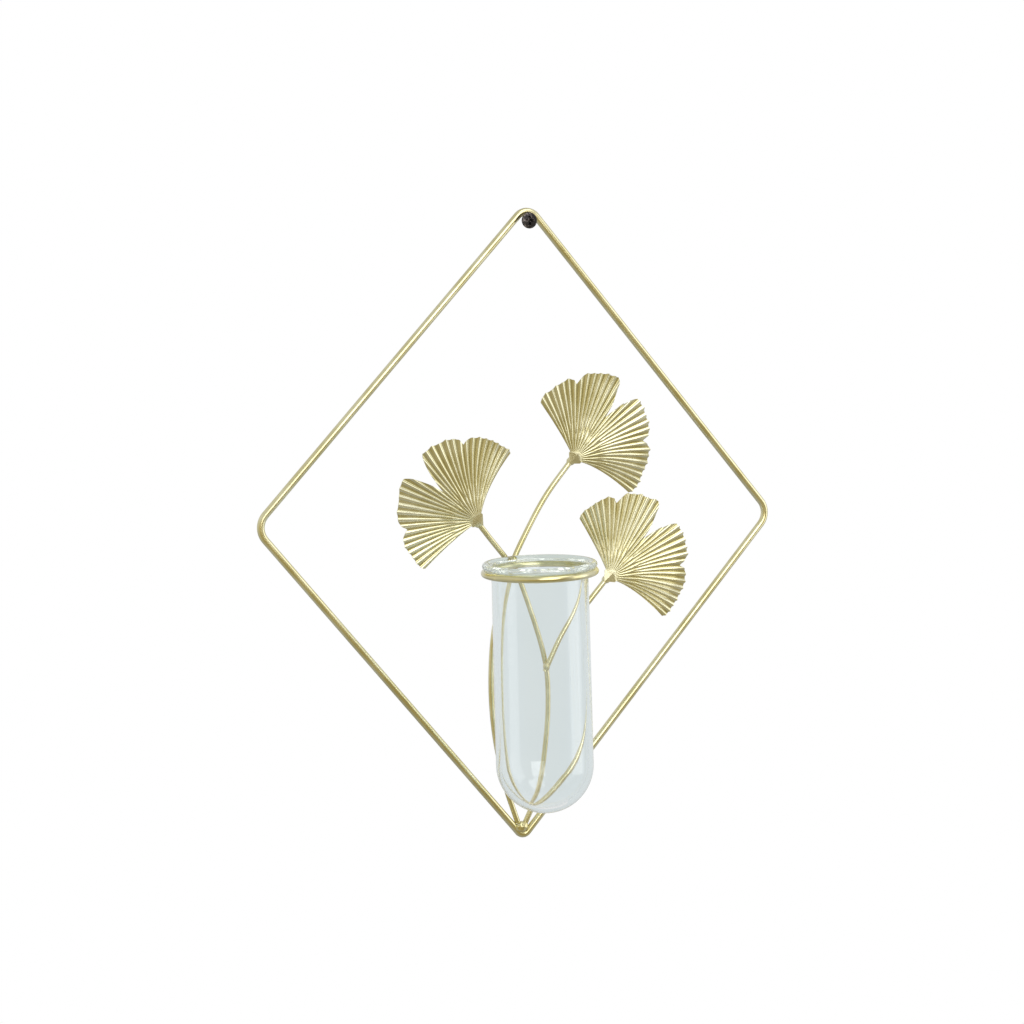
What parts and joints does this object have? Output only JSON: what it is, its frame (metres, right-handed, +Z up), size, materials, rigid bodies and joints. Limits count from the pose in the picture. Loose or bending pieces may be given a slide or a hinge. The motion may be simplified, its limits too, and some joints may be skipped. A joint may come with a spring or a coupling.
{
  "type": "hanging wall vase",
  "caption": "Bent-wire diamond that hangs on one wall screw, with pleated ginkgo leaves on wire stems and a wire ring that holds a round-bottomed glass tube for flowers.",
  "frame": {"origin": "where the hanging screw's axis meets the wall's surface", "axes": "+X to the right along the wall as seen from the room, +Y into the wall along the screw, +Z up"},
  "size_m": [0.2896, 0.0939, 0.3375],
  "materials": {
    "satin_gold": "satin champagne gold over steel wire and sheet",
    "clear_glass": "clear polished glass",
    "black_screw": "matt black phosphate"
  },
  "bodies": {
    "wall_fixing": {"hanging_screw": "black_screw"},
    "hanger": {"diamond_frame": "satin_gold", "stem_top": "satin_gold", "stem_left": "satin_gold", "stem_right": "satin_gold", "leaf_top": "satin_gold", "leaf_left": "satin_gold", "leaf_right": "satin_gold", "leaf_top_weld": "satin_gold", "leaf_left_weld": "satin_gold", "leaf_right_weld": "satin_gold", "holder_ring": "satin_gold", "corner_weld": "satin_gold", "branch_weld": "satin_gold", "ring_weld": "satin_gold"},
    "tube": {"glass_tube": "clear_glass"}
  },
  "joints": [
    {"name": "hang_swing", "type": "hinge", "parent": "wall_fixing", "child": "hanger", "pos_m": [0, 0, 0], "axis": [0, 1, 0], "range_deg": [-45, 45]},
    {"name": "tube_lift", "type": "slide", "parent": "hanger", "child": "tube", "axis": [-0.0349, 0, 0.9994], "range_m": [0, 0.14]}
  ]
}
